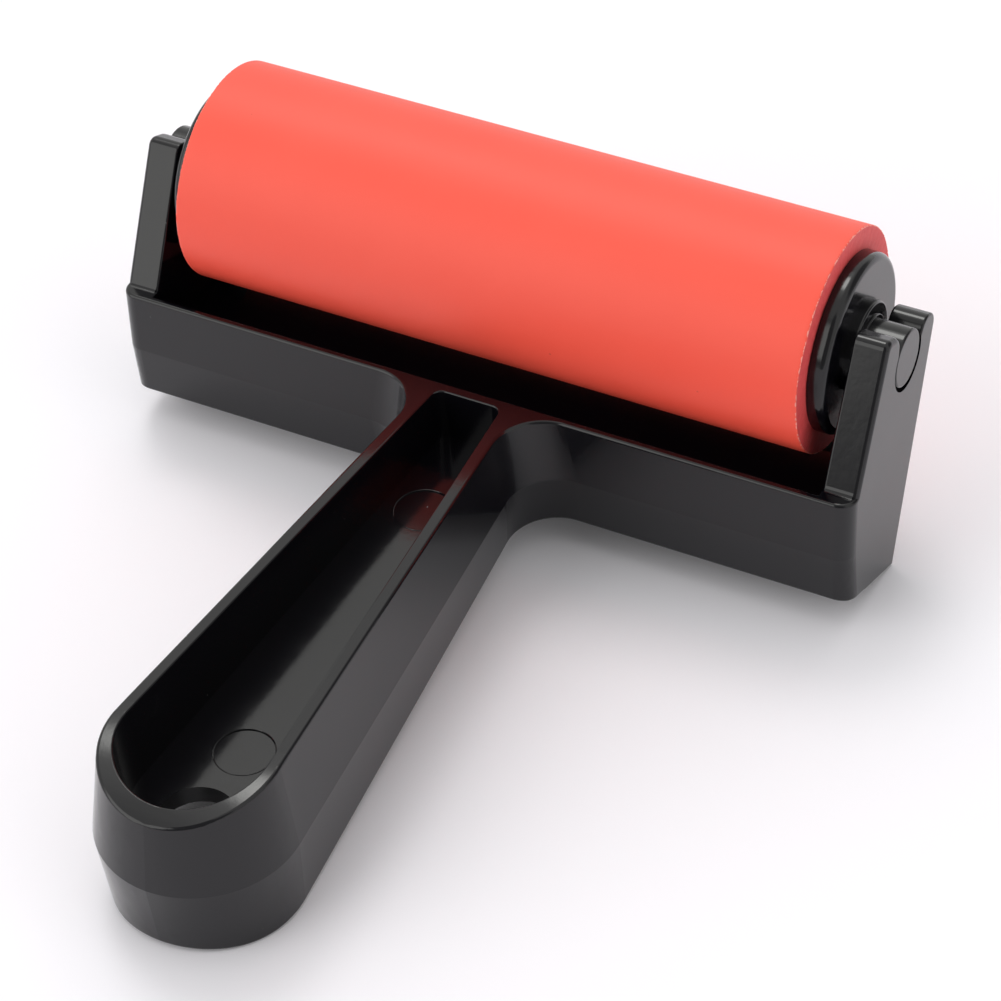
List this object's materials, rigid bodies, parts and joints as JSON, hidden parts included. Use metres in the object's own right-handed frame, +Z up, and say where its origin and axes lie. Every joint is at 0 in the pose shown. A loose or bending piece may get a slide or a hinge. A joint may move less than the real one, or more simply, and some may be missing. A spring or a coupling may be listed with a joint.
{
  "type": "rubber brayer",
  "caption": "Soft rubber roller on a flanged core that turns in the snap-in arms of a T-shaped moulded frame with a channelled handle, for rolling out printing ink.",
  "frame": {"origin": "middle of the footprint, on the table that the crossbar's two toes and the tail's underside touch", "axes": "+X along the roller towards its right end seen from the handle, +Y from the handle's tail to the roller, +Z up"},
  "size_m": [0.1194, 0.1306, 0.0538],
  "materials": {
    "frame_plastic": "gloss",
    "red_rubber": "satin",
    "core_plastic": "matte",
    "cap_plastic": "gloss"
  },
  "bodies": {
    "frame": {"handle_frame": "frame_plastic"},
    "roller": {"rubber_sleeve": "red_rubber", "core_tube": "core_plastic", "left_end_cap": "cap_plastic", "right_end_cap": "cap_plastic"}
  },
  "joints": [
    {"name": "roller_spin", "type": "hinge", "parent": "frame", "child": "roller", "pos_m": [0, 0.04849, 0.03705], "axis": [1, 0, 0], "continuous": true}
  ]
}
